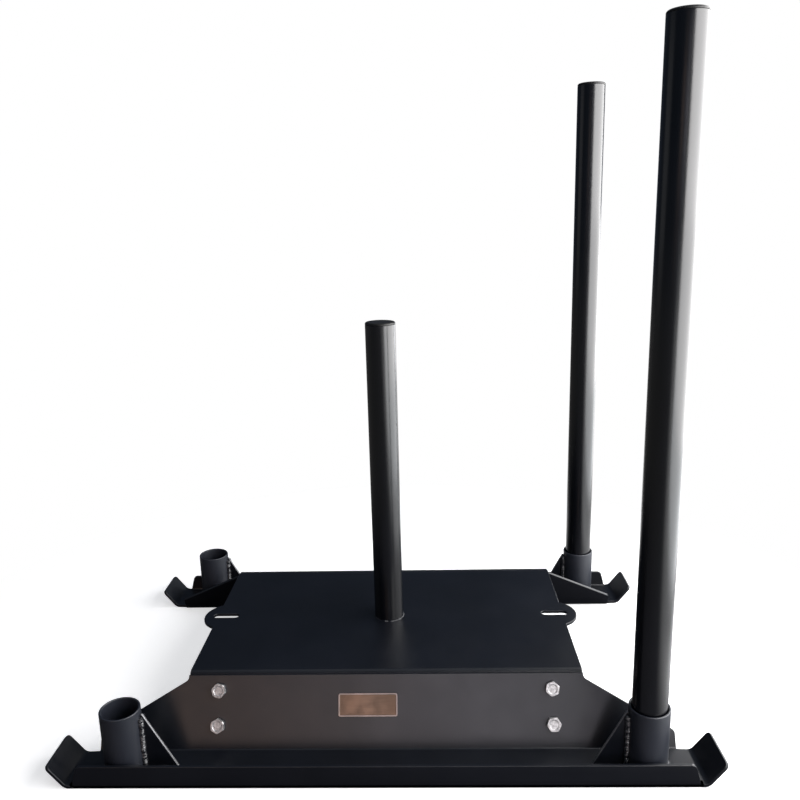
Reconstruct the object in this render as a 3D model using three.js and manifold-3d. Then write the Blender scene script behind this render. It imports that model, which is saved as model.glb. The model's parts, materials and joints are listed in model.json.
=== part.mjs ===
// A weight sled for pushing and dragging, in millimetres with +Z up.
// X runs along the direction of travel, Y runs across the sled, and the ground is z = 0.
// The origin is on the ground under the middle of the deck.
// The rear is the +X end, where the two tall push posts stand. Left (-Y) and right (+Y)
// are those of the person who stands behind the posts and pushes towards -X.

import * as THREE from 'three';
import { mergeVertices } from 'three/addons/utils/BufferGeometryUtils.js';
import Module from 'manifold-3d';

const wasm = await Module();
wasm.setup();

// Sheet metal and fits
const plate = 5;
const foldInside = 3;
const fit = 0.3;
const overrun = 20;
const foldSteps = 4;
const roundSteps = 12;

// Whole sled
const sledLength = 948;
const sledWidth = 594;
const deckHeight = 103;
const webLean = THREE.MathUtils.degToRad(25.5);

// Runners
const flangeHeight = 35;
const flangeInset = 36;
const flangeRake = 9;
const flangeCorner = 8;
const tipHeight = 36;
const tipAngle = THREE.MathUtils.degToRad(52);
const tipInside = 10;
const tipCorner = 7;
const relief = 2;
const webFootInset = 47.5;
const webEndHeight = 24;
const webShoulder = 7;
const webCorner = 8;

// Sleeves that the push posts drop into, and the gussets that brace them
const sleeveInside = 25.5;
const sleeveWall = 3;
const sleeveHeight = 95.7;
const sleeveInset = 101;
const flangeRoom = 2;
const webRoom = 8.5;
const gussetFoot = 48.5;
const gussetDrop = 8;
const gussetLip = 3;

// Deck saddle
const deckLength = 595;
const saddleLift = 15;
const earReach = 23;
const earRadius = 41.5;
const slotLength = 44;
const slotWidth = 13;
const slotMargin = 15.5;

// Posts
const postRadius = 24.15;
const postWall = 3;
const pushPostLength = 984.7;
const weightPostLength = 506.7;
const capHead = 4;
const capPlug = 18;
const capRim = 2.5;

// Bolts that join the saddle to the runners
const boltRadius = 6;
const boltLength = 30;
const boltHead = 7.5;
const boltAcross = 19;
const nutThickness = 10;
const nutPlay = 0.3;
const holeRadius = 6.5;
const washerRadius = 12;
const washerThickness = 2.5;
const hexChamfer = 1.2;
const boltInset = 47.5;
const boltTopEdge = 22.4;
const boltFootEdge = 33.7;

// Places worked out from the sizes above
const halfLength = sledLength / 2;
const halfWidth = sledWidth / 2;
const foldOutside = foldInside + plate;
const foldTurn = Math.PI / 2 - webLean;
const sleeveRadius = sleeveInside + sleeveWall;
const sleeveX = halfLength - sleeveInset;
const sleeveY = halfWidth - plate - foldInside - flangeRoom - sleeveRadius;
const webFootY = sleeveY - sleeveRadius - webRoom;
const floorEdgeY = webFootY + foldInside * Math.tan(foldTurn / 2);
const flangeEndX = halfLength - flangeInset;
const webFootX = halfLength - webFootInset;
const boltX = deckLength / 2 - boltInset;

// The web stands on the floor's inner edge. Its upper face starts at webFootY on top of the
// floor, and a place on it is given by its rise up the slope and its distance out of that face.
const webPlace = (rise, out) => new THREE.Vector2(
  rise * Math.sin(webLean) - out * Math.cos(webLean) - webFootY,
  rise * Math.cos(webLean) + out * Math.sin(webLean) + plate,
);
const riseAt = (height, out) => (height - plate - out * Math.sin(webLean)) / Math.cos(webLean);
const saddleFace = -plate - fit;
const saddleCornerRise = riseAt(deckHeight, saddleFace);
const webRise = saddleCornerRise - foldOutside * Math.tan(foldTurn / 2);

const xAxis = new THREE.Vector3(1, 0, 0);
const yAxis = new THREE.Vector3(0, 1, 0);
const zAxis = new THREE.Vector3(0, 0, 1);
const webUp = new THREE.Vector3(0, Math.sin(webLean), Math.cos(webLean));
const webFrame = new THREE.Matrix4()
  .makeBasis(xAxis, webUp, xAxis.clone().cross(webUp))
  .setPosition(0, -webFootY, plate);

const blackPaint = new THREE.MeshStandardMaterial({ color: 0x1a1c20, roughness: 0.42, metalness: 0.35 });
const blackPlastic = new THREE.MeshStandardMaterial({ color: 0x151515, roughness: 0.6, metalness: 0 });
const zincPlate = new THREE.MeshStandardMaterial({ color: 0xc8cacd, roughness: 0.35, metalness: 0.9 });

const point = (x, y) => new THREE.Vector2(x, y);

// A closed geometry as a solid that can be joined and cut
function solid(geometry) {
  const bare = geometry.index ? geometry.toNonIndexed() : geometry.clone();
  bare.deleteAttribute('normal');
  bare.deleteAttribute('uv');
  const merged = mergeVertices(bare, fit / 1000);
  const corners = [];
  for (let i = 0; i < merged.index.count; i += 3) {
    const [a, b, c] = [0, 1, 2].map((step) => merged.index.getX(i + step));
    if (a !== b && b !== c && c !== a) corners.push(a, b, c);
  }
  return new wasm.Manifold(new wasm.Mesh({
    numProp: 3,
    vertProperties: new Float32Array(merged.attributes.position.array),
    triVerts: new Uint32Array(corners),
  }));
}

function geometryOf(body) {
  const { vertProperties, triVerts, numProp } = body.getMesh();
  const places = new Float32Array((vertProperties.length / numProp) * 3);
  for (let i = 0; i < places.length / 3; i += 1) {
    places.set(vertProperties.subarray(i * numProp, i * numProp + 3), i * 3);
  }
  const geometry = new THREE.BufferGeometry();
  geometry.setAttribute('position', new THREE.BufferAttribute(places, 3));
  geometry.setIndex(new THREE.BufferAttribute(new Uint32Array(triVerts), 1));
  return geometry;
}

const cut = (body, cutters) => cutters.reduce((left, cutter) => left.subtract(solid(cutter)), body);

// A line through the corners, with each corner between the ends rounded to the radius.
function roundedLine(corners, radius) {
  const points = [corners[0]];
  for (let i = 1; i < corners.length - 1; i += 1) {
    const back = corners[i - 1].clone().sub(corners[i]).normalize();
    const on = corners[i + 1].clone().sub(corners[i]).normalize();
    const half = Math.acos(back.dot(on)) / 2;
    const middle = back.clone().add(on).normalize();
    const centre = corners[i].clone().addScaledVector(middle, radius / Math.sin(half));
    const start = corners[i].clone().addScaledVector(back, radius / Math.tan(half));
    const turn = Math.sign(on.cross(back)) * (Math.PI - 2 * half);
    for (let k = 0; k <= foldSteps; k += 1) {
      points.push(start.clone().rotateAround(centre, (turn * k) / foldSteps));
    }
  }
  points.push(corners.at(-1));
  return points;
}

// The same line moved to its left by the distance.
function offsetLine(corners, distance) {
  const left = corners.slice(1).map((corner, i) => {
    const side = corner.clone().sub(corners[i]).normalize();
    return point(-side.y, side.x);
  });
  return corners.map((corner, i) => {
    const before = left[Math.max(i - 1, 0)];
    const after = left[Math.min(i, left.length - 1)];
    const middle = before.clone().add(after).normalize();
    return corner.clone().addScaledVector(middle, distance / middle.dot(after));
  });
}

// The section of a folded plate. The corners are those of its outer face, and the plate lies
// to the left of them.
function foldedSection(corners, inside) {
  const outer = roundedLine(corners, inside + plate);
  const inner = roundedLine(offsetLine(corners, plate), inside);
  return new THREE.Shape([...outer, ...inner.reverse()]);
}

// A shape drawn along two directions and extruded along the third.
function extruded(shape, low, high, first, second) {
  const third = first.clone().cross(second);
  const geometry = new THREE.ExtrudeGeometry(shape, {
    depth: high - low,
    bevelEnabled: false,
    curveSegments: roundSteps,
  });
  geometry.translate(0, 0, low);
  return geometry.applyMatrix4(new THREE.Matrix4().makeBasis(first, second, third));
}

const alongX = (shape, length) => extruded(shape, -length / 2, length / 2, yAxis, zAxis);
const alongZ = (shape, low, high) => extruded(shape, low, high, xAxis, yAxis);
const alongY = (shape, low, high) => extruded(shape, -high, -low, xAxis, zAxis);
const throughWeb = (shape) => alongZ(shape, -plate - overrun, overrun).applyMatrix4(webFrame);

function box(low, high) {
  const size = high.clone().sub(low);
  const middle = low.clone().add(high).multiplyScalar(1 / 2);
  return new THREE.BoxGeometry(size.x, size.y, size.z).translate(middle.x, middle.y, middle.z);
}

const circle = (radius, x = 0, y = 0) => new THREE.Shape().absarc(x, y, radius, 0, Math.PI * 2);

// The area outside a line drawn for the +X end, for cutting either end to that line.
function endOutline(end, line, reach, top) {
  const outside = [point(reach, line.at(-1).y), point(reach, top), point(line[0].x, top)];
  return new THREE.Shape([...line, ...outside].map(({ x, y }) => point(end * x, y)));
}

const boltPlaces = [
  { name: 'front_low', x: -boltX, rise: boltFootEdge },
  { name: 'rear_low', x: boltX, rise: boltFootEdge },
  { name: 'front_high', x: -boltX, rise: webRise - boltTopEdge },
  { name: 'rear_high', x: boltX, rise: webRise - boltTopEdge },
];
const boltHoles = () => boltPlaces.map(({ x, rise }) => throughWeb(circle(holeRadius, x, rise)));

// The web's end: an upright shoulder under the deck, a long slope and a short upright foot.
function webEnd(end) {
  const line = roundedLine([
    point(deckLength / 2, webRise),
    point(deckLength / 2, webRise - webShoulder),
    point(webFootX, webEndHeight),
    point(webFootX, plate),
  ], webCorner);
  return throughWeb(endOutline(end, line, webFootX + overrun, webRise + overrun));
}

// The outer flange's end: a rounded top corner and a raked edge.
function flangeEnd(end) {
  const top = flangeEndX - flangeRake;
  const line = roundedLine([
    point(top - overrun, flangeHeight),
    point(top, flangeHeight),
    point(flangeEndX, 0),
  ], flangeCorner);
  const outline = endOutline(end, line, flangeEndX + overrun, flangeHeight + overrun);
  return alongY(outline, -halfWidth - overrun, foldOutside - halfWidth);
}

// The floor's inner edge past the web's end.
function floorEnd(end) {
  const [low, high] = end > 0 ? [webFootX, halfLength] : [-halfLength, -webFootX];
  return box(
    new THREE.Vector3(low, -floorEdgeY, -overrun),
    new THREE.Vector3(high, 0, deckHeight + overrun),
  );
}

// One corner of a raised tip, rounded in the tip's own plane.
function tipRounding(end, edgeY, side) {
  const length = (tipHeight - plate * Math.cos(tipAngle)) / Math.sin(tipAngle);
  const line = roundedLine(
    [point(length - tipCorner, 0), point(length, 0), point(length, -tipCorner)],
    tipCorner,
  ).slice(1, -1);
  const corner = [
    ...line,
    point(length + overrun, -tipCorner),
    point(length + overrun, overrun),
    point(length - tipCorner, overrun),
  ].map(({ x, y }) => point(x, side * y));
  const slope = new THREE.Vector3(end * Math.cos(tipAngle), 0, Math.sin(tipAngle));
  const geometry = extruded(new THREE.Shape(corner), -overrun, overrun, slope, yAxis);
  return geometry.translate(end * (halfLength - length * Math.cos(tipAngle)), edgeY, 0);
}

// One bent plate: outer flange, floor, tall leaning web, and a raised tip at each end.
function runner() {
  const ends = [-1, 1];
  const trough = foldedSection([
    point(-halfWidth, flangeHeight),
    point(-halfWidth, 0),
    webPlace(riseAt(0, -plate), -plate),
    webPlace(webRise, -plate),
  ], foldInside);
  const channel = cut(
    solid(alongX(trough, 2 * flangeEndX)),
    ends.flatMap((end) => [webEnd(end), flangeEnd(end), floorEnd(end)]),
  );

  const tipRise = tipHeight - plate * Math.cos(tipAngle);
  const tipFoot = halfLength - tipRise / Math.tan(tipAngle);
  const sole = foldedSection([
    point(-halfLength, tipRise),
    point(-tipFoot, 0),
    point(tipFoot, 0),
    point(halfLength, tipRise),
  ], tipInside);
  const flangeRelief = box(
    new THREE.Vector3(-flangeEndX - relief, -halfWidth - overrun, -overrun),
    new THREE.Vector3(flangeEndX + relief, foldOutside - halfWidth, overrun),
  );
  const strip = cut(solid(alongY(sole, -halfWidth, -floorEdgeY)), [
    flangeRelief,
    ...ends.flatMap((end) => [tipRounding(end, -halfWidth, -1), tipRounding(end, -floorEdgeY, 1)]),
  ]);
  return geometryOf(cut(channel.add(strip), boltHoles()));
}

// The deck's outline from above, with a slotted pulling ear at each end.
function deckOutline() {
  const endX = deckLength / 2;
  const earX = endX + earReach - earRadius;
  const open = Math.acos((endX - earX) / earRadius);
  const outline = new THREE.Shape();
  outline.moveTo(-endX, -halfWidth);
  outline.lineTo(endX, -halfWidth);
  outline.absarc(earX, 0, earRadius, -open, open);
  outline.lineTo(endX, halfWidth);
  outline.lineTo(-endX, halfWidth);
  outline.absarc(-earX, 0, earRadius, Math.PI - open, Math.PI + open);
  outline.closePath();

  const slotX = endX + earReach - slotMargin - slotLength / 2;
  const straight = (slotLength - slotWidth) / 2;
  for (const end of [-1, 1]) {
    const slot = new THREE.Path();
    slot.absarc(end * slotX + straight, 0, slotWidth / 2, -Math.PI / 2, Math.PI / 2);
    slot.absarc(end * slotX - straight, 0, slotWidth / 2, Math.PI / 2, (Math.PI * 3) / 2);
    slot.closePath();
    outline.holes.push(slot);
  }
  return outline;
}

// One bent plate: the deck, and a flange down each side that bolts inside the runner's web.
function saddle() {
  const foot = webPlace(riseAt(saddleLift, saddleFace), saddleFace);
  const corner = webPlace(saddleCornerRise, saddleFace);
  const section = foldedSection([
    point(-foot.x, foot.y),
    point(-corner.x, corner.y),
    corner,
    foot,
  ], foldInside);
  const bent = solid(alongX(section, deckLength + 2 * earReach + 2 * overrun));
  const trimmed = bent.intersect(solid(alongZ(deckOutline(), -overrun, deckHeight + overrun)));
  const turned = boltHoles().map((hole) => hole.rotateZ(Math.PI));
  return geometryOf(cut(trimmed, [...boltHoles(), ...turned]));
}

// A triangular plate in X and Z that stands on the floor with its upright edge at x = 0.
function gusset() {
  const height = sleeveHeight - gussetDrop;
  const outline = new THREE.Shape([
    point(0, 0),
    point(0, height),
    point(-gussetLip, height),
    point(-gussetFoot, gussetLip),
    point(-gussetFoot, 0),
  ]);
  return alongY(outline, -plate / 2, plate / 2);
}

function tube(radius, wall, length) {
  const ring = circle(radius);
  ring.holes.push(circle(radius - wall));
  return alongZ(ring, 0, length);
}

// A turned end cap: a plug inside the tube under a head as wide as the tube.
function postCap() {
  const plug = postRadius - postWall - fit;
  const rim = roundedLine([
    point(postRadius, fit),
    point(postRadius, capHead),
    point(0, capHead),
  ], capRim);
  const profile = [point(0, -capPlug), point(plug, -capPlug), point(plug, fit), ...rim];
  return new THREE.LatheGeometry(profile, 2 * roundSteps).rotateX(Math.PI / 2);
}

// A hexagon of the given height, with its corners turned off at the top or at both faces.
function hexagon(height, bothFaces) {
  const reach = boltAcross / Math.sqrt(3);
  const corners = [...Array(6).keys()].map((k) => {
    const angle = (k * Math.PI) / 3;
    return point(reach * Math.cos(angle), reach * Math.sin(angle));
  });
  const flat = boltAcross / 2;
  const outside = reach + fit;
  const turned = new THREE.LatheGeometry([
    point(0, 0),
    ...(bothFaces ? [point(flat, 0), point(outside, hexChamfer)] : [point(outside, 0)]),
    point(outside, height - hexChamfer),
    point(flat, height),
    point(0, height),
  ], 2 * roundSteps).rotateX(Math.PI / 2);
  return solid(alongZ(new THREE.Shape(corners), 0, height)).intersect(solid(turned));
}

// A bolt along its own Z, with the underside of its head at z = 0.
function bolt() {
  const shank = solid(alongZ(circle(boltRadius), -boltLength, boltHead / 2));
  return geometryOf(hexagon(boltHead, false).add(shank));
}

function nut() {
  const bore = alongZ(circle(boltRadius + nutPlay), -overrun, overrun);
  return geometryOf(cut(hexagon(nutThickness, true), [bore]));
}

function named(name, geometry, material, x = 0, y = 0, z = 0) {
  const mesh = new THREE.Mesh(geometry, material);
  mesh.name = name;
  mesh.position.set(x, y, z);
  return mesh;
}

// A tube post with its cap, standing at the given place.
function post(names, length, x, y, z) {
  const shaft = length - capHead;
  return [
    named(names[0], tube(postRadius, postWall, shaft), blackPaint, x, y, z),
    named(names[1], postCap(), blackPlastic, x, y, z + shaft),
  ];
}

// Everything that stands on one runner. It is drawn as the left side, and the right side is
// the same turned half round, so there the front and rear change places.
function sideOf(side) {
  const group = new THREE.Group();
  const turned = side === 'right';
  if (turned) group.rotation.z = Math.PI;
  const swapped = { front: 'rear', rear: 'front' };
  const endName = (end) => (turned ? swapped[end] : end);
  const seat = plate + fit;

  group.add(named(`runner_${side}`, runner(), blackPaint));
  for (const [end, sign] of [['front', -1], ['rear', 1]]) {
    const place = `${side}_${endName(end)}`;
    const x = sign * sleeveX;
    const sleeve = tube(sleeveRadius, sleeveWall, sleeveHeight);
    group.add(named(`sleeve_${place}`, sleeve, blackPaint, x, -sleeveY, seat));
    const braceX = x - sign * (sleeveRadius + fit);
    const brace = named(`gusset_${place}`, gusset(), blackPaint, braceX, -sleeveY, seat);
    if (sign < 0) brace.rotation.z = Math.PI;
    group.add(brace);
    if (endName(end) === 'rear') {
      const names = [`push_post_${side}`, `push_post_cap_${side}`];
      group.add(...post(names, pushPostLength, x, -sleeveY, seat));
    }
  }

  const web = new THREE.Group();
  web.applyMatrix4(webFrame);
  group.add(web);
  const washerFoot = saddleFace - plate - fit - washerThickness;
  const nutFoot = washerFoot - fit - nutThickness;
  for (const { name, x, rise } of boltPlaces) {
    const [end, row] = name.split('_');
    const place = `${side}_${endName(end)}_${row}`;
    const washer = tube(washerRadius, washerRadius - holeRadius, washerThickness);
    web.add(named(`bolt_${place}`, bolt(), zincPlate, x, rise, fit));
    web.add(named(`washer_${place}`, washer, zincPlate, x, rise, washerFoot));
    web.add(named(`nut_${place}`, nut(), zincPlate, x, rise, nutFoot));
  }
  return group;
}

const sled = new THREE.Group();
sled.add(sideOf('left'), sideOf('right'));
sled.add(named('deck_saddle', saddle(), blackPaint));
sled.add(...post(['weight_post', 'weight_post_cap'], weightPostLength, 0, 0, deckHeight + fit));

export default sled;
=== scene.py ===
"""The looks of a drag sled: black powder-coated steel, zinc-plated bolts and a bare plate.

Lengths are in metres, and every piece stands where its CAD node is.
"""

import json
import math

import bmesh
import bpy
from mathutils import Matrix, Vector

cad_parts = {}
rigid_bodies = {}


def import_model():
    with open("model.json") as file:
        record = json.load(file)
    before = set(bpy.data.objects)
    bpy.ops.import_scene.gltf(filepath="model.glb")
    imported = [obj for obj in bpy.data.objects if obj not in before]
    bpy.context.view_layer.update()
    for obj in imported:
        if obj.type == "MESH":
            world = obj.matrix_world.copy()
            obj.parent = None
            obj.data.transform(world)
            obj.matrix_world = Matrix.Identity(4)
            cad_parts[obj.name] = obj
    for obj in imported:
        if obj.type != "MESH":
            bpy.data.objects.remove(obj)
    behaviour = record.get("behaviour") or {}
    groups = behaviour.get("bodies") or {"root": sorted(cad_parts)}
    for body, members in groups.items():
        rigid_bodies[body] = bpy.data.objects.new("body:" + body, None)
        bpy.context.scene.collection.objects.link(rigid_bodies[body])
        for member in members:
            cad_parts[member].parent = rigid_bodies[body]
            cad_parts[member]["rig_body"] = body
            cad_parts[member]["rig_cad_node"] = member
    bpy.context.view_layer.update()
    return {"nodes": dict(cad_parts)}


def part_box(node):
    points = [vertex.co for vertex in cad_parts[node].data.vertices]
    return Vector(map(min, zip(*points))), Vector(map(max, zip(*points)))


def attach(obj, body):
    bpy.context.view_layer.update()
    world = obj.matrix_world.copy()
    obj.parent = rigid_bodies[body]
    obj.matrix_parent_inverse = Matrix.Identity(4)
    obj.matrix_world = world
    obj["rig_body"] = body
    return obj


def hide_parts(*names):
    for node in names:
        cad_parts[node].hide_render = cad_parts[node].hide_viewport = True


bl_info = {
    "name": "Drag sled",
    "version": (1, 0, 0),
    "blender": (4, 5, 0),
    "location": "View3D > Sidebar > Sled",
    "description": "Models the visible pieces of a drag sled round its CAD frame",
    "category": "Add Mesh",
}

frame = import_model()

SIDES = ("left", "right")
ENDS = ("front", "rear")
ROWS = ("low", "high")
PLACES = [f"{side}_{end}" for side in SIDES for end in ENDS]
BOLT_PLACES = [f"{place}_{row}" for place in PLACES for row in ROWS]
SLED = "sled"

# Points and heights that are no further apart than this are the same
SAME = 1e-5
# The gap between parts that sit on or in one another
FIT = 0.0003


class SledSizes(bpy.types.PropertyGroup):
    """Sizes of what is modelled here, beyond the sizes of the CAD nodes"""

    edge_round: bpy.props.FloatProperty(
        name="Edge rounding", description="Rounding of the cut edges of the plates",
        default=0.0010, unit="LENGTH", precision=5)
    gusset_round: bpy.props.FloatProperty(
        name="Gusset rounding", description="Rounding of the gussets' edges, which are ground",
        default=0.0019, unit="LENGTH", precision=5)
    tube_wall: bpy.props.FloatProperty(
        name="Tube wall", description="Thickness of the walls of the posts and sleeves",
        default=0.003, unit="LENGTH", precision=5)
    tube_sides: bpy.props.IntProperty(
        name="Tube sides", description="Sides of each tube and post", default=128, min=24)
    cap_round: bpy.props.FloatProperty(
        name="Cap rounding", description="Rounding of the top edge of each post",
        default=0.003, unit="LENGTH", precision=5)
    web_lean: bpy.props.FloatProperty(
        name="Web lean", description="Lean of the runners' webs from upright",
        default=math.radians(25.5), subtype="ANGLE")
    weld_size: bpy.props.FloatProperty(
        name="Weld size", description="Radius of a weld bead",
        default=0.0042, unit="LENGTH", precision=5)
    weld_lumps: bpy.props.FloatProperty(
        name="Weld lumps", description="How far a bead's lumps stand out or in",
        default=0.0026, unit="LENGTH", precision=5)
    weld_ripple: bpy.props.FloatProperty(
        name="Weld ripple", description="Distance from one ripple of a bead to the next",
        default=0.0026, unit="LENGTH", precision=5)
    bolt_across: bpy.props.FloatProperty(
        name="Bolt head", description="Width of the bolt heads and nuts across their flats",
        default=0.019, unit="LENGTH", precision=5)
    bolt_head: bpy.props.FloatProperty(
        name="Head height", description="Height of a bolt head",
        default=0.0075, unit="LENGTH", precision=5)
    bolt_radius: bpy.props.FloatProperty(
        name="Bolt radius", description="Radius of a bolt's shank over its threads",
        default=0.006, unit="LENGTH", precision=5)
    bolt_length: bpy.props.FloatProperty(
        name="Bolt length", description="Length of a bolt under its head",
        default=0.030, unit="LENGTH", precision=5)
    thread_pitch: bpy.props.FloatProperty(
        name="Thread pitch", description="Distance from one thread to the next",
        default=0.00175, unit="LENGTH", precision=5)
    badge_size: bpy.props.FloatVectorProperty(
        name="Plate size", description="Length, height and thickness of the small metal plate",
        default=(0.0885, 0.033, 0.0018), unit="LENGTH", precision=5)
    badge_border: bpy.props.FloatProperty(
        name="Plate border", description="Width of the small plate's raised border",
        default=0.0021, unit="LENGTH", precision=5)
    badge_place: bpy.props.FloatVectorProperty(
        name="Plate place", description="Middle of the plate along the web and up its slope",
        default=(-0.025, 0.062), size=2, unit="LENGTH", precision=5)


class SledColours(bpy.types.PropertyGroup):
    """Colours of the finishes"""

    paint: bpy.props.FloatVectorProperty(
        name="Paint", description="Powder coat of the plates and tubes",
        default=(0.0022, 0.0031, 0.0056), subtype="COLOR", min=0, max=1)
    worn_paint: bpy.props.FloatVectorProperty(
        name="Lighter paint", description="Lighter patches of the powder coat",
        default=(0.0036, 0.0047, 0.0080), subtype="COLOR", min=0, max=1)
    bright_edge: bpy.props.FloatVectorProperty(
        name="Rubbed edge",
        description="Steel that shows through the paint of the gussets' edges and the welds",
        default=(0.30, 0.30, 0.31), subtype="COLOR", min=0, max=1)
    cap: bpy.props.FloatVectorProperty(
        name="Caps", description="Plastic of the post caps",
        default=(0.0070, 0.0068, 0.0068), subtype="COLOR", min=0, max=1)
    zinc: bpy.props.FloatVectorProperty(
        name="Zinc", description="Plating of the bolts, washers and nuts",
        default=(0.66, 0.65, 0.65), subtype="COLOR", min=0, max=1)
    badge: bpy.props.FloatVectorProperty(
        name="Small plate", description="Brushed metal of the small plate",
        default=(0.180, 0.133, 0.102), subtype="COLOR", min=0, max=1)
    tarnish: bpy.props.FloatVectorProperty(
        name="Tarnish", description="Browner patches of the small plate",
        default=(0.185, 0.112, 0.074), subtype="COLOR", min=0, max=1)
    badge_border: bpy.props.FloatVectorProperty(
        name="Plate border", description="Polished metal of the small plate's border",
        default=(0.30, 0.255, 0.235), subtype="COLOR", min=0, max=1)
    floor: bpy.props.FloatVectorProperty(
        name="Floor", description="Studio floor as the camera sees it",
        default=(0.82, 0.82, 0.82), subtype="COLOR", min=0, max=1)
    dim_floor: bpy.props.FloatVectorProperty(
        name="Dim floor", description="Studio floor as it lights the object",
        default=(0.08, 0.08, 0.09), subtype="COLOR", min=0, max=1)


# Selecting and shaping

def only(piece):
    """Leaves this piece alone selected and active, in object mode."""
    if bpy.context.object and bpy.context.object.mode != "OBJECT":
        bpy.ops.object.mode_set(mode="OBJECT")
    bpy.ops.object.select_all(action="DESELECT")
    if piece:
        piece.select_set(True)
        bpy.context.view_layer.objects.active = piece


def choose(piece, kind, test):
    """In edit mode, selects only the faces, edges or verts that pass the test."""
    modes = {"faces": "FACE", "edges": "EDGE", "verts": "VERT"}
    bpy.ops.mesh.select_mode(type=modes[kind])
    bpy.ops.mesh.select_all(action="DESELECT")
    mesh = bmesh.from_edit_mesh(piece.data)
    for element in getattr(mesh, kind):
        if test(element):
            element.select_set(True)
    mesh.select_flush_mode()
    bmesh.update_edit_mesh(piece.data)


def edit(piece):
    only(piece)
    bpy.ops.object.mode_set(mode="EDIT")


def leave_edit():
    bpy.ops.object.mode_set(mode="OBJECT")


def settle(piece):
    """Puts the object's place into its mesh, and the object at the origin."""
    only(piece)
    bpy.ops.object.transform_apply(location=True, rotation=True, scale=True)
    return piece


def place(piece, matrix):
    piece.matrix_world = matrix
    return settle(piece)


def copy_of(piece, name):
    only(piece)
    bpy.ops.object.duplicate()
    copy = bpy.context.active_object
    copy.name = name
    return copy


def add_cylinder(name, radius, low, high, sides, centre=(0, 0)):
    only(None)
    bpy.ops.mesh.primitive_cylinder_add(
        vertices=sides, radius=radius, depth=high - low,
        location=(centre[0], centre[1], (low + high) / 2))
    piece = bpy.context.active_object
    piece.name = name
    return settle(piece)


def faces_up(face):
    return face.normal.z > 0.9


def faces_down(face):
    return face.normal.z < -0.9


def is_upright(edge):
    return abs(edge.verts[0].co.z - edge.verts[1].co.z) > SAME


def lies_at(edge, height):
    return all(abs(vert.co.z - height) < SAME for vert in edge.verts)


def bore_through(piece, wall):
    """Opens a tube's bore, leaving a wall of this thickness."""
    edit(piece)
    choose(piece, "faces", lambda face: faces_up(face) or faces_down(face))
    bpy.ops.mesh.inset(thickness=wall, use_individual=True)
    bpy.ops.mesh.bridge_edge_loops()
    leave_edit()


def apply_modifier(piece, kind, **settings):
    only(piece)
    bpy.ops.object.modifier_add(type=kind)
    modifier = piece.modifiers[-1]
    for name, value in settings.items():
        setattr(modifier, name, value)
    bpy.ops.object.modifier_apply(modifier=modifier.name)


def round_edges(piece, width, segments=3, angle=50, clamp=False):
    apply_modifier(
        piece, "BEVEL", width=width, segments=segments, limit_method="ANGLE",
        angle_limit=math.radians(angle), use_clamp_overlap=clamp, miter_outer="MITER_ARC")


def smooth(piece, angle=34):
    """Smooth shading that keeps broad faces flat and hard corners sharp."""
    only(piece)
    bpy.ops.object.shade_smooth_by_angle(angle=math.radians(angle))
    apply_modifier(piece, "WEIGHTED_NORMAL", mode="FACE_AREA", weight=50, keep_sharp=True)


def finish(piece, material, body=SLED, nodes=()):
    """Gives a finished piece its material and its body, and hides the nodes that it stands
    for.
    """
    piece.data.materials.clear()
    piece.data.materials.append(material)
    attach(piece, body)
    if nodes:
        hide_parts(*nodes)
    only(None)


# Places read from the CAD nodes

def middle(node):
    low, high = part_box(node)
    return (low + high) / 2


def round_measures(node):
    """The radius of an upright tube, its middle and the heights of its ends."""
    low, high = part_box(node)
    return (high.x - low.x) / 2, middle(node), low.z, high.z


def turned_to(*axes):
    """The turn that lays local X, Y and Z along these directions."""
    return Matrix(axes).transposed().to_4x4()


def web_frame(side, lean):
    """Axes of a web: along the sled, up the slope and out of its upper face."""
    turn = Matrix.Rotation(0 if side == "left" else math.pi, 4, "Z")
    up = (0, math.sin(lean), math.cos(lean))
    out = (0, -math.cos(lean), math.sin(lean))
    return turn @ turned_to((1, 0, 0), up, out)


# How far out of the middle of a washer the web's upper face lies, less a hair
PLATE_SEAT = 0.01185
# How far up the slope the lower bolts are
BOLT_RISE = 0.0337


def badge_spot():
    """The middle of the small plate's back, and its axes."""
    sizes = bpy.context.scene.sled_sizes
    axes = web_frame("left", sizes.web_lean)
    washer = middle("washer_left_front_low")
    along, rise = sizes.badge_place
    offset = Vector((along - washer.x, rise - BOLT_RISE, PLATE_SEAT))
    return washer + axes.to_3x3() @ offset, axes


# Materials

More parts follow.
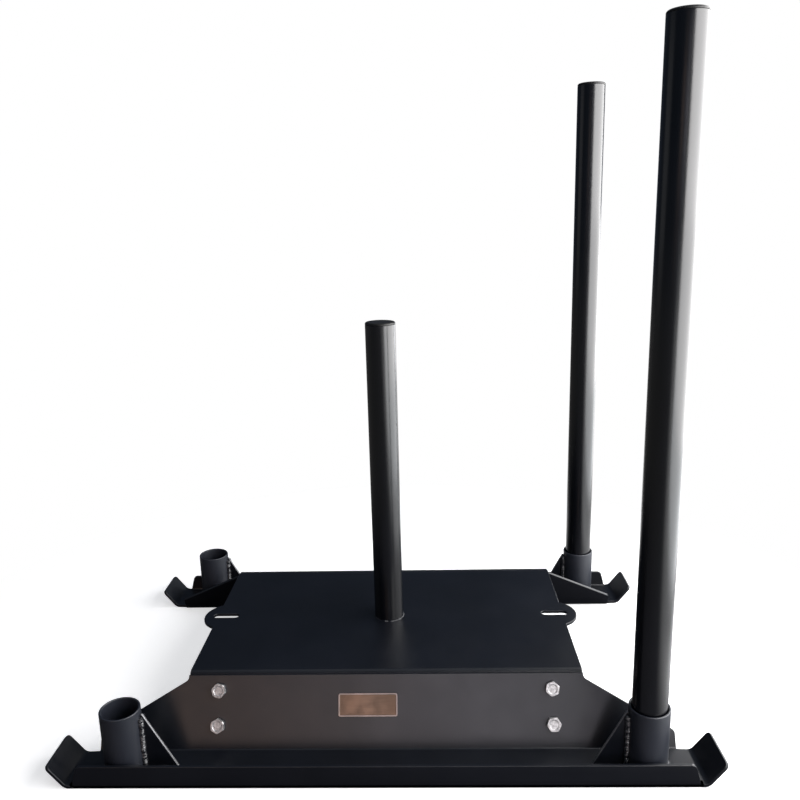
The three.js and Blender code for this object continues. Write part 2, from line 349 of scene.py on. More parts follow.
class Nodes:
    """A small helper that adds and links the nodes of a material or of the world."""

    def __init__(self, owner, coordinates="Object"):
        owner.use_nodes = True
        self.owner = owner
        self.tree = owner.node_tree
        self.shader = self.tree.nodes.get("Principled BSDF")
        self.place = self.add("ShaderNodeTexCoord").outputs[coordinates]

    def add(self, kind, **settings):
        node = self.tree.nodes.new(kind)
        for name, value in settings.items():
            setattr(node, name, value)
        return node

    def link(self, start, end):
        self.tree.links.new(start, end)

    def shade(self, **inputs):
        """Links these outputs to inputs of the shader, such as Base_Color."""
        for name, output in inputs.items():
            self.link(output, self.shader.inputs[name.replace("_", " ")])

    def maths(self, operation, *values, clamp=False):
        node = self.add("ShaderNodeMath", operation=operation, use_clamp=clamp)
        for value, socket in zip(values, node.inputs):
            self.link(value, socket)
        return node.outputs[0]

    def axes(self, vector):
        """The X, Y and Z of a vector."""
        node = self.add("ShaderNodeSeparateXYZ")
        self.link(vector, node.inputs[0])
        return node.outputs

    def noise(self, scale, detail, stretch=(1, 1, 1)):
        mapping = self.add("ShaderNodeMapping")
        mapping.inputs["Scale"].default_value = stretch
        self.link(self.place, mapping.inputs["Vector"])
        noise = self.add("ShaderNodeTexNoise")
        noise.inputs["Scale"].default_value = scale
        noise.inputs["Detail"].default_value = detail
        self.link(mapping.outputs["Vector"], noise.inputs["Vector"])
        return noise.outputs["Fac"]

    def spread(self, value, low, high, start=0.35, end=0.65, interpolation="LINEAR"):
        """Maps values from start to end, or else the middle of a noise, to low to high."""
        node = self.add("ShaderNodeMapRange", interpolation_type=interpolation)
        limits = {"From Min": start, "From Max": end, "To Min": low, "To Max": high}
        for name, limit in limits.items():
            node.inputs[name].default_value = limit
        self.link(value, node.inputs["Value"])
        return node.outputs["Result"]

    def blend(self, amount, first, second):
        """Mixes two colours, each of them a constant or an output of another node."""
        node = self.add("ShaderNodeMix", data_type="RGBA")
        self.link(amount, node.inputs["Factor"])
        for name, colour in (("A", first), ("B", second)):
            if isinstance(colour, bpy.types.NodeSocket):
                self.link(colour, node.inputs[name])
            else:
                node.inputs[name].default_value = (*colour, 1)
        return node.outputs["Result"]

    def bump(self, height, strength, distance, below=None):
        node = self.add("ShaderNodeBump")
        node.inputs["Strength"].default_value = strength
        node.inputs["Distance"].default_value = distance
        self.link(height, node.inputs["Height"])
        if below:
            self.link(below, node.inputs["Normal"])
        return node.outputs["Normal"]


def scaled(colour, lightness):
    return [channel * lightness for channel in colour]


# Roughness, specular level and lightness of each powder coat. All are one coat: the sleeves'
# lightness above 1 is painted light, and the posts' lightness below 1 is painted shade
COATS = {
    "plate_paint": (0.36, 0.55, 1),
    "gusset_paint": (0.36, 0.5, 1),
    "weld_paint": (0.34, 1, 1),
    # Painted light: the sleeves' coat is made lighter than the plates'
    "sleeve_paint": (0.46, 1, 2.8),
    # Painted shade: the posts' coat is made darker than the plates'
    "post_paint": (0.235, 0.8, 0.45),
}


def powder_coat(name):
    """Nodes of a satin black powder coat with a fine orange peel and faint cloudiness."""
    roughness, specular, lightness = COATS[name]
    colours = bpy.context.scene.sled_colours
    nodes = Nodes(bpy.data.materials.new(name))
    cloud = nodes.spread(nodes.noise(scale=9, detail=4), 0, 1)
    # A lightness above 1 paints light into the coat, and a lightness below 1 paints shade
    paint = scaled(colours.paint, lightness)
    worn = scaled(colours.worn_paint, lightness)
    patches = nodes.noise(scale=26, detail=5)
    peel = nodes.bump(nodes.noise(scale=620, detail=1), strength=0.10, distance=0.0004)
    grain = nodes.noise(scale=2600, detail=2)
    nodes.shade(
        Base_Color=nodes.blend(cloud, paint, worn),
        Roughness=nodes.spread(patches, roughness * 0.96, roughness * 1.06),
        Normal=nodes.bump(grain, strength=0.12, distance=0.0001, below=peel))
    nodes.shader.inputs["Specular IOR Level"].default_value = specular
    return nodes


def show_metal(nodes, amount):
    """Lets bright metal show through the coat by this amount."""
    coat = nodes.shader.inputs["Base Color"].links[0].from_socket
    metal = bpy.context.scene.sled_colours.bright_edge
    nodes.shade(Base_Color=nodes.blend(amount, coat, metal), Metallic=amount)


def weld_paint():
    """The powder coat over a weld, with the metal showing on its lumps."""
    nodes = powder_coat("weld_paint")
    lumps = nodes.noise(scale=420, detail=1)
    show_metal(nodes, nodes.spread(lumps, 0, 0.7, start=0.54, end=0.62))
    return nodes


def gusset_paint():
    """The powder coat, rubbed thin along the narrow edges of a gusset."""
    nodes = powder_coat("gusset_paint")
    normal = nodes.add("ShaderNodeTexCoord").outputs["Normal"]
    across = nodes.maths("ABSOLUTE", nodes.axes(normal)["Y"])
    edge = nodes.spread(across, 0.85, 0, start=0.55, end=0.97)
    scuffs = nodes.spread(nodes.noise(scale=90, detail=4), 0.7, 1.0)
    show_metal(nodes, nodes.maths("MULTIPLY", edge, scuffs))
    return nodes


def cap_plastic():
    """Dark plastic with a faint grain."""
    colours = bpy.context.scene.sled_colours
    nodes = Nodes(bpy.data.materials.new("cap_plastic"))
    cloud = nodes.noise(scale=60, detail=3)
    grain = nodes.noise(scale=3000, detail=1)
    nodes.shade(
        Base_Color=nodes.blend(cloud, scaled(colours.cap, 0.7), colours.cap),
        Roughness=nodes.spread(nodes.noise(scale=140, detail=2), 0.42, 0.52),
        Normal=nodes.bump(grain, strength=0.15, distance=0.0001))
    return nodes


def zinc_plating():
    """Pale zinc with duller spots."""
    colours = bpy.context.scene.sled_colours
    nodes = Nodes(bpy.data.materials.new("zinc_plating"))
    nodes.shader.inputs["Metallic"].default_value = 1
    cloud = nodes.spread(nodes.noise(scale=330, detail=4), 0, 1, start=0.38, end=0.58)
    grain = nodes.noise(scale=1800, detail=3)
    nodes.shade(
        Base_Color=nodes.blend(cloud, scaled(colours.zinc, 0.62), colours.zinc),
        Roughness=nodes.spread(nodes.noise(scale=500, detail=3), 0.46, 0.60),
        Normal=nodes.bump(grain, strength=0.2, distance=0.0001))
    return nodes


def badge_metal():
    """Brown metal, brushed along the sled, with a lighter border."""
    colours = bpy.context.scene.sled_colours
    nodes = Nodes(bpy.data.materials.new("badge_metal"))
    nodes.shader.inputs["Metallic"].default_value = 1
    brushed = nodes.noise(scale=900, detail=3, stretch=(0.04, 1, 1))
    ground = nodes.blend(brushed, scaled(colours.badge, 0.66), colours.badge)
    patches = nodes.spread(nodes.noise(scale=14, detail=0), 0, 0.5, start=0.2, end=0.8)
    tarnished = nodes.blend(patches, ground, colours.tarnish)
    nodes.shade(
        Base_Color=nodes.blend(on_badge_border(nodes), tarnished, colours.badge_border),
        Roughness=nodes.spread(nodes.noise(scale=60, detail=3), 0.34, 0.48),
        Normal=nodes.bump(brushed, strength=0.2, distance=0.0001))
    return nodes


def on_badge_border(nodes):
    """1 on the small plate's border, and 0 on its ground."""
    sizes = bpy.context.scene.sled_sizes
    centre, axes = badge_spot()
    turn = axes.to_3x3().transposed()
    laid_flat = nodes.add("ShaderNodeMapping")
    laid_flat.inputs["Rotation"].default_value = turn.to_euler()
    laid_flat.inputs["Location"].default_value = -(turn @ centre)
    nodes.link(nodes.place, laid_flat.inputs["Vector"])
    parts = nodes.axes(laid_flat.outputs["Vector"])
    blur = 0.0002
    sides = []
    for axis in range(2):
        inner = sizes.badge_size[axis] / 2 - sizes.badge_border
        away = nodes.maths("ABSOLUTE", parts[axis])
        sides.append(nodes.spread(away, 0, 1, start=inner - blur, end=inner + blur))
    return nodes.maths("MAXIMUM", *sides)


def material(name):
    """A finish by name, made the first time that it is asked for."""
    makers = {
        "plate_paint": lambda: powder_coat("plate_paint"),
        "post_paint": lambda: powder_coat("post_paint"),
        "sleeve_paint": lambda: powder_coat("sleeve_paint"),
        "weld_paint": weld_paint,
        "gusset_paint": gusset_paint,
        "cap_plastic": cap_plastic,
        "zinc_plating": zinc_plating,
        "badge_metal": badge_metal,
    }
    return bpy.data.materials.get(name) or makers[name]().owner


# Pieces

# How far off its plane a facet may lie and still be part of a flat face
FLAT = 0.00002
# Edges this near to a washer's middle are a bolt's hole, which the head and washer hide
HIDDEN = 0.0145


def is_within_face(edge):
    """Whether an edge only divides a flat face. A sliver counts by its longest edge alone."""
    facet, face = sorted(edge.link_faces, key=lambda face: face.calc_area())
    longest = max(side.calc_length() for side in facet.edges)
    is_sliver = 2 * facet.calc_area() / longest < FLAT
    if is_sliver and edge.calc_length() < 0.9999 * longest:
        return False
    centre = face.calc_center_median()
    return all(abs((vert.co - centre).dot(face.normal)) < FLAT for vert in facet.verts)


def is_along_edge(vert):
    """Whether a vertex only divides a straight edge."""
    if len(vert.link_edges) != 2:
        return False
    first, second = (edge.other_vert(vert).co - vert.co for edge in vert.link_edges)
    return first.angle(second) > math.radians(179.5)


def bent_plate(node, rounding):
    """A plate with the node's cuts and folds, its facets merged and its open edges rounded."""
    piece = copy_of(frame["nodes"][node], f"{node}_plate")
    # The copy is a piece of its own, and no longer a CAD node.
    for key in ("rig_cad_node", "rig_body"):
        del piece[key]
    piece.parent = None
    edit(piece)
    bpy.ops.mesh.select_all(action="SELECT")
    bpy.ops.mesh.remove_doubles(threshold=FLAT)
    bpy.ops.mesh.dissolve_degenerate(threshold=FLAT)
    for _ in range(3):
        choose(piece, "edges", is_within_face)
        bpy.ops.mesh.dissolve_edges(use_verts=False)
    choose(piece, "verts", is_along_edge)
    bpy.ops.mesh.dissolve_verts()
    washers = [middle(f"washer_{name}") for name in BOLT_PLACES]

    def is_open_edge(edge):
        is_hidden = any((edge.verts[0].co - washer).length < HIDDEN for washer in washers)
        return not is_hidden and edge.calc_face_angle(0) > math.radians(50)

    choose(piece, "edges", is_open_edge)
    bpy.ops.mesh.bevel(
        offset=rounding, segments=3, clamp_overlap=False, loop_slide=False, miter_outer="ARC")
    leave_edit()
    smooth(piece)
    return piece


def tube(node, rounding, segments):
    """A tube with the node's place and size, a bore and rounded rims."""
    sizes = bpy.context.scene.sled_sizes
    radius, centre, low, high = round_measures(node)
    piece = add_cylinder(f"{node}_tube", radius, low, high, sizes.tube_sides, centre)
    bore_through(piece, sizes.tube_wall)
    round_edges(piece, rounding, segments)
    smooth(piece)
    return piece


# Sides of a weld bead, steps in each ripple, and the depth of a ripple and the radius at
# a bead's tips as shares of its radius
BEAD_SIDES = 12
BEAD_STEPS = 4
RIPPLE_DEPTH = 0.16
BEAD_TIP = 0.5
# Length of a bead's lumps
LUMP_LENGTH = 0.006


def weld_ring(name, centre, radius, height, size):
    """A rippled bead of this radius that runs round a tube at the given height."""
    sizes = bpy.context.scene.sled_sizes
    steps = BEAD_STEPS * round(2 * math.pi * radius / sizes.weld_ripple)
    only(None)
    bpy.ops.mesh.primitive_torus_add(
        major_radius=radius, minor_radius=size,
        major_segments=steps, minor_segments=BEAD_SIDES,
        location=(centre[0], centre[1], height))
    piece = bpy.context.active_object
    piece.name = name
    settle(piece)

    def between_ripples(vert):
        angle = math.atan2(vert.co.y - centre[1], vert.co.x - centre[0])
        return round(angle / (2 * math.pi) * steps) % BEAD_STEPS == 0

    edit(piece)
    choose(piece, "verts", between_ripples)
    bpy.ops.transform.shrink_fatten(value=-size * RIPPLE_DEPTH)
    leave_edit()
    return piece


def weld_line(name, start, end):
    """A rippled straight bead with round ends."""
    sizes = bpy.context.scene.sled_sizes
    start, end = Vector(start), Vector(end)
    length = (end - start).length
    steps = BEAD_STEPS * round(length / sizes.weld_ripple)
    piece = add_cylinder(name, sizes.weld_size, 0, length, BEAD_SIDES)
    edit(piece)
    choose(piece, "edges", is_upright)
    bpy.ops.mesh.subdivide(number_cuts=steps - 1)

    def between_ripples(vert):
        is_inside = 0 < vert.co.z < length
        return is_inside and round(vert.co.z / length * steps) % BEAD_STEPS == 0

    choose(piece, "verts", between_ripples)
    bpy.ops.transform.shrink_fatten(value=-sizes.weld_size * RIPPLE_DEPTH)
    for tip in (0, length):
        choose(piece, "verts", lambda vert: abs(vert.co.z - tip) < SAME)
        bpy.ops.transform.resize(value=(BEAD_TIP, BEAD_TIP, 1), center_override=(0, 0, tip))
    leave_edit()
    turn = (end - start).to_track_quat("Z", "Y").to_matrix().to_4x4()
    return place(piece, Matrix.Translation(start) @ turn)


def lumpy(bead):
    """Makes a bead uneven, as one laid by hand is."""
    textures = bpy.data.textures
    texture = textures.get("weld_lumps") or textures.new("weld_lumps", "CLOUDS")
    texture.noise_scale = LUMP_LENGTH
    texture.noise_depth = 1
    apply_modifier(bead, "DISPLACE", texture=texture, texture_coords="LOCAL", mid_level=0.5,
                   strength=bpy.context.scene.sled_sizes.weld_lumps)
    return bead


def joined(pieces, name):
    only(pieces[0])
    for piece in pieces[1:]:
        piece.select_set(True)
    if len(pieces) > 1:
        bpy.ops.object.join()
    pieces[0].name = name
    return pieces[0]


class SLED_OT_plates(bpy.types.Operator):
    """Model the bent plates: both runners, the deck saddle and the gussets"""

    bl_idname = "sled.plates"
    bl_label = "Bent plates"

    def execute(self, context):
        sizes = context.scene.sled_sizes
        roundings = {f"runner_{side}": sizes.edge_round for side in SIDES}
        roundings["deck_saddle"] = sizes.edge_round
        roundings.update({f"gusset_{name}": sizes.gusset_round for name in PLACES})
        for node, rounding in roundings.items():
            piece = bent_plate(node, rounding)
            paint = "gusset_paint" if node.startswith("gusset") else "plate_paint"
            finish(piece, material(paint), nodes=[node])
        return {"FINISHED"}


class SLED_OT_sleeves(bpy.types.Operator):
    """Model the four sleeves"""

    bl_idname = "sled.sleeves"
    bl_label = "Sleeves"

    def execute(self, context):
        for name in PLACES:
            node = f"sleeve_{name}"
            piece = tube(node, context.scene.sled_sizes.edge_round, segments=4)
            finish(piece, material("sleeve_paint"), nodes=[node])
        return {"FINISHED"}


class SLED_OT_posts(bpy.types.Operator):
    """Model the push posts and the weight post, each with its cap"""

    bl_idname = "sled.posts"
    bl_label = "Posts"

    def execute(self, context):
        posts = [(f"push_post_{side}", f"push_post_cap_{side}", f"push_post_{side}")
                 for side in SIDES]
        posts.append(("weight_post", "weight_post_cap", SLED))
        for node, cap_node, body in posts:
            piece = tube(node, context.scene.sled_sizes.edge_round / 2, segments=3)
            finish(piece, material("post_paint"), body, [node])
            self.add_cap(context, node, cap_node, body)
        return {"FINISHED"}

    def add_cap(self, context, node, cap_node, body):
        """A cap with a round top edge, and a plug that goes into the post's bore."""
        sizes = context.scene.sled_sizes
        radius, centre, _, tube_top = round_measures(node)
        low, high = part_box(cap_node)
        seat = tube_top + FIT

        def is_outer_rim(edge):
            is_outer = all((v.co.xy - centre.xy).length > radius * 0.98 for v in edge.verts)
            return is_outer and lies_at(edge, seat)

        cap = add_cylinder(f"{cap_node}_plug", radius, seat, high.z, sizes.tube_sides, centre)
        edit(cap)
        choose(cap, "faces", faces_down)
        bpy.ops.mesh.inset(thickness=sizes.tube_wall + FIT)
        plug = {"value": (0, 0, low.z - seat)}
        bpy.ops.mesh.extrude_region_move(TRANSFORM_OT_translate=plug)
        choose(cap, "edges", lambda edge: lies_at(edge, high.z))
        bpy.ops.mesh.bevel(offset=sizes.cap_round, segments=8, profile=0.5)
        choose(cap, "edges", is_outer_rim)
        bpy.ops.mesh.bevel(offset=sizes.edge_round * 0.4, segments=2, profile=0.5)
        leave_edit()
        smooth(cap)
        finish(cap, material("cap_plastic"), body, [cap_node])


class SLED_OT_fasteners(bpy.types.Operator):
    """Model one bolt, washer and nut, and set copies of them in all eight places"""

    bl_idname = "sled.fasteners"
    bl_label = "Fasteners"

    # How far each fastener is turned beyond the last one
    SPIN = math.radians(17)
    # Each model's origin is the middle of the washer, with +Z out of the web's upper face.
    HEAD_SEAT = 0.01215
    NUT_TOP = -0.00155
    NUT_HEIGHT = 0.010
    WASHER_HEIGHT = 0.0025
    WASHER_RADIUS = 0.012
    # The play between a washer and its bolt
    WASHER_PLAY = 0.0005
    # How far the corners of heads and nuts are turned off, and how far the shape that
    # turns them off stands beyond them
    CORNER = 0.00125
    CORNER_SPARE = 0.0002
    # The flat rim round a head's dish, the dish's slope and its depth
    RIM = 0.0028
    DISH_SLOPE = 0.0010
    DISH = 0.0007
    THREADS = 11
    # The threads' inner radius as a share of the outer one
    THREAD_ROOT = 0.86
    # The cut round a bolt's tip, and the rounding of heads, washers and nuts
    TIP_CUT = 0.0006
    HEAD_ROUND = 0.00025
    WASHER_ROUND = 0.0003
    NUT_ROUND = 0.0002
    # How far a shape reaches past what it cuts or joins
    SPARE = 0.001
    SHANK_SIDES = 48
    WASHER_SIDES = 72
    TURNED_SIDES = 96

    def execute(self, context):
        sizes = context.scene.sled_sizes
        makers = {"bolt": self.bolt, "washer": self.washer, "nut": self.nut}
        models = {kind: maker(sizes) for kind, maker in makers.items()}
        for number, name in enumerate(BOLT_PLACES):
            side = name.split("_")[0]
            axes = web_frame(side, sizes.web_lean)
            centre = middle(f"washer_{name}")
            spin = Matrix.Rotation(self.SPIN * number, 4, "Z")
            for kind, model in models.items():
                piece = copy_of(model, f"{kind}_{name}_zinc")
                place(piece, Matrix.Translation(centre) @ axes @ spin)
                finish(piece, material("zinc_plating"), nodes=[f"{kind}_{name}"])
        for model in models.values():
            only(model)
            bpy.ops.object.delete()
        return {"FINISHED"}

    def hexagon(self, name, across, low, high, both):
        """A hexagonal prism whose corners are turned off at the top, or at both ends."""
        radius = across / math.sqrt(3)
        prism = add_cylinder(name, radius, low - self.SPARE, high + self.SPARE, 6)
        turned = add_cylinder(
            f"{name}_turned", radius + self.CORNER_SPARE, low, high, self.TURNED_SIDES)
        edit(turned)
        ends = (low, high) if both else (high,)
        choose(turned, "edges", lambda edge: any(lies_at(edge, end) for end in ends))
        bpy.ops.mesh.bevel(offset_type="OFFSET", offset=self.CORNER, segments=1)
        if not both:
            choose(turned, "faces", faces_up)
            bpy.ops.mesh.inset(thickness=self.RIM)
            bpy.ops.mesh.inset(thickness=self.DISH_SLOPE, depth=-self.DISH)
        leave_edit()
        self.cut(prism, turned, "INTERSECT")
        return prism

    def cut(self, piece, tool, operation):
        apply_modifier(piece, "BOOLEAN", operation=operation, object=tool, solver="EXACT")
        only(tool)
        bpy.ops.object.delete()

    def bolt(self, sizes):
        seat, radius, pitch = self.HEAD_SEAT, sizes.bolt_radius, sizes.thread_pitch
        top = seat + sizes.bolt_head
        head = self.hexagon("bolt", sizes.bolt_across, seat, top, both=False)
        round_edges(head, self.HEAD_ROUND, segments=2, angle=20, clamp=True)
        foot = seat - sizes.bolt_length + self.THREADS * pitch
        shank = add_cylinder("bolt_shank", radius, foot, seat + self.SPARE, self.SHANK_SIDES)
        edit(shank)
        choose(shank, "faces", faces_down)
        half_turn = {"value": (0, 0, -pitch / 2)}
        for _ in range(self.THREADS):
            for scale in (self.THREAD_ROOT, 1 / self.THREAD_ROOT):
                bpy.ops.mesh.extrude_region_move(TRANSFORM_OT_translate=half_turn)
                bpy.ops.transform.resize(value=(scale, scale, 1), center_override=(0, 0, 0))
        bpy.ops.mesh.bevel(offset=self.TIP_CUT, segments=1)
        leave_edit()
        piece = joined([head, shank], "bolt_model")
        smooth(piece, angle=28)
        return piece

    def washer(self, sizes):
        radius, half = self.WASHER_RADIUS, self.WASHER_HEIGHT / 2
        piece = add_cylinder("washer_model", radius, -half, half, self.WASHER_SIDES)
        bore_through(piece, radius - sizes.bolt_radius - self.WASHER_PLAY)
        round_edges(piece, self.WASHER_ROUND, segments=2)
        smooth(piece)
        return piece

    def nut(self, sizes):
        low, high = self.NUT_TOP - self.NUT_HEIGHT, self.NUT_TOP
        reach = 2 * self.SPARE
        piece = self.hexagon("nut_model", sizes.bolt_across, low, high, both=True)
        bore = add_cylinder(
            "nut_bore", sizes.bolt_radius + FIT, low - reach, high + reach, self.SHANK_SIDES)
        self.cut(piece, bore, "DIFFERENCE")
        round_edges(piece, self.NUT_ROUND, segments=2, angle=25, clamp=True)
        smooth(piece, angle=28)
        return piece


class SLED_OT_welds(bpy.types.Operator):
    """Model the weld beads round the sleeves and the weight post, and along the gussets"""

    bl_idname = "sled.welds"
    bl_label = "Weld beads"

    # Where the beads' middles lie, in shares of their radius: off a sleeve, off a gusset's
    # face, over a sleeve's foot, over a gusset's foot, and under the weight post's foot
    OFF_SLEEVE = 0.25
    OFF_GUSSET = 0.3
    OVER_SLEEVE_FOOT = 0.15
    OVER_GUSSET_FOOT = 0.1
    UNDER_POST_FOOT = 0.3
    # Size of the weight post's bead as a share of the others'
    POST_BEAD = 0.55

    def execute(self, context):
        size = context.scene.sled_sizes.weld_size
        off_gusset = size * self.OFF_GUSSET
        for name in PLACES:
            radius, centre, foot, _ = round_measures(f"sleeve_{name}")
            radius += size * self.OFF_SLEEVE
            level = foot + size * self.OVER_SLEEVE_FOOT
            beads = [weld_ring("weld", centre, radius, level, size)]
            low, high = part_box(f"gusset_{name}")
            inward = -1 if centre.x > 0 else 1
            wall = centre.x + inward * radius
            toe = low.x if inward < 0 else high.x
            level = low.z + size * self.OVER_GUSSET_FOOT
            for side in (low.y - off_gusset, high.y + off_gusset):
                upright = (wall, side, low.z + size), (wall, side, high.z - size)
                flat = ((wall + inward * 2 * size, side, level),
                        (toe - inward * size, side, level))
                beads += [weld_line("weld", *upright), weld_line("weld", *flat)]
            piece = lumpy(joined(beads, f"welds_{name}"))
            smooth(piece, angle=60)
            finish(piece, material("weld_paint"))
        radius, centre, foot, _ = round_measures("weight_post")
        level = foot - size * self.UNDER_POST_FOOT
        ring = weld_ring("welds_weight_post", centre, radius, level, size * self.POST_BEAD)
        smooth(lumpy(ring), angle=60)
        finish(ring, material("plate_paint"))
        return {"FINISHED"}


class SLED_OT_badge(bpy.types.Operator):
    """Model the small bare metal plate on the left web"""

    bl_idname = "sled.badge"
    bl_label = "Small plate"

    # The plate's corner radius, the width of the step inside its border, and its depth
    CORNER = 0.003
    STEP = 0.0003
    SUNK = 0.0005

    def execute(self, context):
        sizes = context.scene.sled_sizes
        length, height, thickness = sizes.badge_size
        only(None)
        bpy.ops.mesh.primitive_cube_add(size=1, location=(0, 0, thickness / 2))
        piece = bpy.context.active_object
        piece.name = "small_plate"
        piece.scale = (length, height, thickness)
        settle(piece)
        edit(piece)
        choose(piece, "edges", is_upright)
        bpy.ops.mesh.bevel(offset=self.CORNER, segments=8)
        choose(piece, "faces", faces_up)
        bpy.ops.mesh.inset(thickness=sizes.badge_border)
        bpy.ops.mesh.inset(thickness=self.STEP, depth=-self.SUNK)
        leave_edit()
        round_edges(piece, 0.0002, segments=2, angle=30)
        smooth(piece)
        centre, axes = badge_spot()
        place(piece, Matrix.Translation(centre) @ axes)
        finish(piece, material("badge_metal"))
        return {"FINISHED"}


class SLED_OT_stage(bpy.types.Operator):
    """Set the pale floor, the white surroundings, the soft lamps and the camera"""

    bl_idname = "sled.stage"
    bl_label = "Stage"

    CAMERA_PLACE = (0.0694, -1.2249, 0.7752)
    # Yaw from +Y, pitch below the level and roll, in degrees
    CAMERA_TURN = (-1.920, 13.434, 1.493)
    CAMERA_LENS = 35.18

    FLOOR_RADIUS = 7
    # How far the floor lies under the runners
    FLOOR_DROP = 0.0006
    # The floor gives some light of its own near the sled, and all of it beyond
    FLOOR_GLOW = 0.6
    GLOW_START, GLOW_END = 0.62, 0.95
    DIM_GLOW = 0.12
    DIM_SKY = 0.06
    DIM_SKY_TINT = (0.72, 0.92, 1.30)
    # A gloss mirrors a white backdrop only to the right of here, and only below here
    BACKDROP_LEFT = (-0.2, 0.25)
    BACKDROP_TOP = (0.11, 0.01)

    # Place, aim, size, brightness, colour and spread in degrees of each soft box. The
    # front ones spread little, which keeps them off the posts.
    LAMPS = {
        "window_high": (
            (0.95, -0.5, 1.15), (0, -0.5, 1.15), (2.2, 0.8), 7.6, (1, 0.985, 0.98), 180),
        "window_middle": (
            (0.95, -0.32, 0.53), (0, -0.32, 0.53), (2.56, 0.44), 5.4, (1, 0.99, 0.99), 180),
        "window_low": (
            (0.95, -0.32, 0.16), (0, -0.32, 0.16), (2.56, 0.30), 3.1, (0.95, 0.98, 1), 180),
        "front_box": (
            (0.36, -3.1, 0.85), (0.1, 0, -0.28), (1.0, 1.1), 6.3, (0.97, 0.92, 1), 34),
        "front_left_box": (
            (-0.9, -3.1, 0.85), (-0.1, 0, -0.28), (1.5, 1.1), 3.5, (1, 0.70, 0.56), 34),
        "back_right_box": (
            (1.7, 2.1, 0.3), (-0.2, -0.2, 0.1), (0.9, 0.6), 3.5, (0.95, 0.97, 1), 180),
        "left_box": ((-2.8, 0.2, 1.0), (0, 0, 0.3), (1.8, 1.2), 0.2, (1, 1, 1), 180),
        "top_box": ((0, 0, 3.4), (0, 0, 0), (3, 3), 0.4, (0.9, 0.95, 1), 180),
    }

    def execute(self, context):
        self.camera(context)
        self.floor(context)
        self.surroundings(context)
        self.lamps()
        context.scene.view_settings.view_transform = "Standard"
        return {"FINISHED"}

    def camera(self, context):
        only(None)
        bpy.ops.object.camera_add(location=self.CAMERA_PLACE)
        camera = bpy.context.active_object
        yaw, pitch, roll = (math.radians(angle) for angle in self.CAMERA_TURN)
        level = math.cos(pitch)
        forward = Vector((math.sin(yaw) * level, math.cos(yaw) * level, -math.sin(pitch)))
        right = Vector((math.cos(yaw), -math.sin(yaw), 0))
        down = forward.cross(right)
        turned_right = math.cos(roll) * right + math.sin(roll) * down
        turned_down = math.cos(roll) * down - math.sin(roll) * right
        turn = turned_to(turned_right, -turned_down, -forward)
        camera.matrix_world = Matrix.Translation(camera.location) @ turn
        camera.data.sensor_width = 36
        camera.data.lens = self.CAMERA_LENS
        camera.data.clip_start = 0.01
        context.scene.camera = camera

    def floor(self, context):
        only(None)
        bpy.ops.mesh.primitive_circle_add(
            vertices=96, radius=self.FLOOR_RADIUS, fill_type="NGON",
            location=(0, 0, -self.FLOOR_DROP))
        floor = settle(bpy.context.active_object)
        floor.name = "studio_floor"
        colours = context.scene.sled_colours
        nodes = Nodes(bpy.data.materials.new("floor_paper"))
        add, link = nodes.add, nodes.link
        nodes.tree.nodes.remove(nodes.shader)
        seen = self.seen_white(nodes, behind=(0.35, 0.60), right=(0.43, 0.70))
        paper = add("ShaderNodeBsdfDiffuse")
        link(nodes.blend(seen, colours.dim_floor, colours.floor), paper.inputs["Color"])
        glow = add("ShaderNodeEmission")
        link(nodes.spread(seen, 0, self.FLOOR_GLOW, start=0, end=1), glow.inputs["Strength"])
        near = add("ShaderNodeAddShader")
        link(paper.outputs[0], near.inputs[0])
        link(glow.outputs[0], near.inputs[1])
        far = add("ShaderNodeEmission")
        link(nodes.spread(seen, self.DIM_GLOW, 1, start=0, end=1), far.inputs["Strength"])
        distance = add("ShaderNodeVectorMath", operation="LENGTH")
        link(nodes.place, distance.inputs[0])
        share = nodes.spread(
            distance.outputs["Value"], 0, 1, start=self.GLOW_START, end=self.GLOW_END)
        mix = add("ShaderNodeMixShader")
        for output, socket in zip((share, near.outputs[0], far.outputs[0]), mix.inputs):
            link(output, socket)
        link(mix.outputs[0], nodes.tree.nodes["Material Output"].inputs["Surface"])
        floor.data.materials.append(nodes.owner)

    def seen_white(self, nodes, behind, right):
        """1 where the camera looks, and where a gloss mirrors what is behind or right."""
        def either(first, second):
            return nodes.maths("ADD", first, second, clamp=True)

        def ramp(value, start, end):
            return nodes.spread(value, 0, 1, start, end, interpolation="SMOOTHSTEP")

        path = nodes.add("ShaderNodeLightPath").outputs
        x, y, z = nodes.axes(nodes.place)
        back = nodes.maths("MULTIPLY", ramp(y, *behind), ramp(x, *self.BACKDROP_LEFT))
        low = ramp(z, *self.BACKDROP_TOP)
        backdrop = nodes.maths("MULTIPLY", either(back, ramp(x, *right)), low)
        mirrored = either(path["Is Glossy Ray"], path["Is Transmission Ray"])
        return either(path["Is Camera Ray"], nodes.maths("MULTIPLY", mirrored, backdrop))

    def surroundings(self, context):
        context.scene.world = bpy.data.worlds.new("studio")
        nodes = Nodes(context.scene.world, "Generated")
        seen = self.seen_white(nodes, behind=(0.86, 0.97), right=(0.50, 0.90))
        sky = nodes.tree.nodes["Background"].inputs
        nodes.link(nodes.blend(seen, self.DIM_SKY_TINT, (1, 1, 1)), sky["Color"])
        nodes.link(nodes.spread(seen, self.DIM_SKY, 1, start=0, end=1), sky["Strength"])

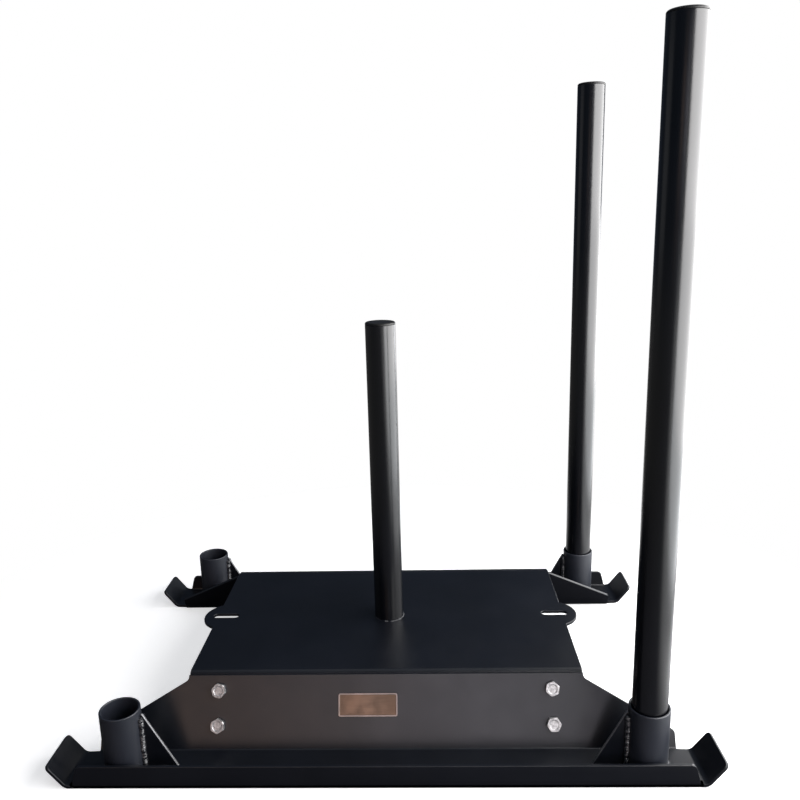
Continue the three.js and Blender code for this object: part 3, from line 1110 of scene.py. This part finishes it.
    def lamps(self):
        for name, settings in self.LAMPS.items():
            spot, target, size, brightness, colour, spread = settings
            only(None)
            bpy.ops.object.light_add(type="AREA", location=spot)
            lamp = bpy.context.active_object
            lamp.name = name
            lamp.visible_camera = False
            lamp.data.shape = "RECTANGLE"
            lamp.data.size, lamp.data.size_y = size
            lamp.data.color = colour
            half = math.radians(spread) / 2
            lamp.data.spread = 2 * half
            # A narrow spread gathers a lamp's light, which this takes back.
            gathered = 1 - half / math.tan(half)
            lamp.data.energy = brightness * math.pi * size[0] * size[1] * gathered
            aim = Vector(target) - Vector(spot)
            lamp.rotation_euler = aim.to_track_quat("-Z", "Y").to_euler()


class SLED_PT_panel(bpy.types.Panel):
    """Sizes, colours and pieces of the sled"""

    bl_idname = "SLED_PT_panel"
    bl_label = "Drag sled"
    bl_space_type = "VIEW_3D"
    bl_region_type = "UI"
    bl_category = "Sled"

    def draw(self, context):
        for group in (context.scene.sled_sizes, context.scene.sled_colours):
            box = self.layout.box()
            for name in group.__annotations__:
                box.prop(group, name)
        for operator in OPERATORS:
            self.layout.operator(operator.bl_idname)


OPERATORS = (
    SLED_OT_stage,
    SLED_OT_plates,
    SLED_OT_sleeves,
    SLED_OT_posts,
    SLED_OT_fasteners,
    SLED_OT_welds,
    SLED_OT_badge,
)
CLASSES = (SledSizes, SledColours, *OPERATORS, SLED_PT_panel)


def register():
    for cls in CLASSES:
        bpy.utils.register_class(cls)
    bpy.types.Scene.sled_sizes = bpy.props.PointerProperty(type=SledSizes)
    bpy.types.Scene.sled_colours = bpy.props.PointerProperty(type=SledColours)


def unregister():
    del bpy.types.Scene.sled_colours
    del bpy.types.Scene.sled_sizes
    for cls in reversed(CLASSES):
        bpy.utils.unregister_class(cls)


def main():
    register()
    bpy.ops.sled.stage()
    bpy.ops.sled.plates()
    bpy.ops.sled.sleeves()
    bpy.ops.sled.posts()
    bpy.ops.sled.fasteners()
    bpy.ops.sled.welds()
    bpy.ops.sled.badge()


if __name__ == "__main__":
    main()
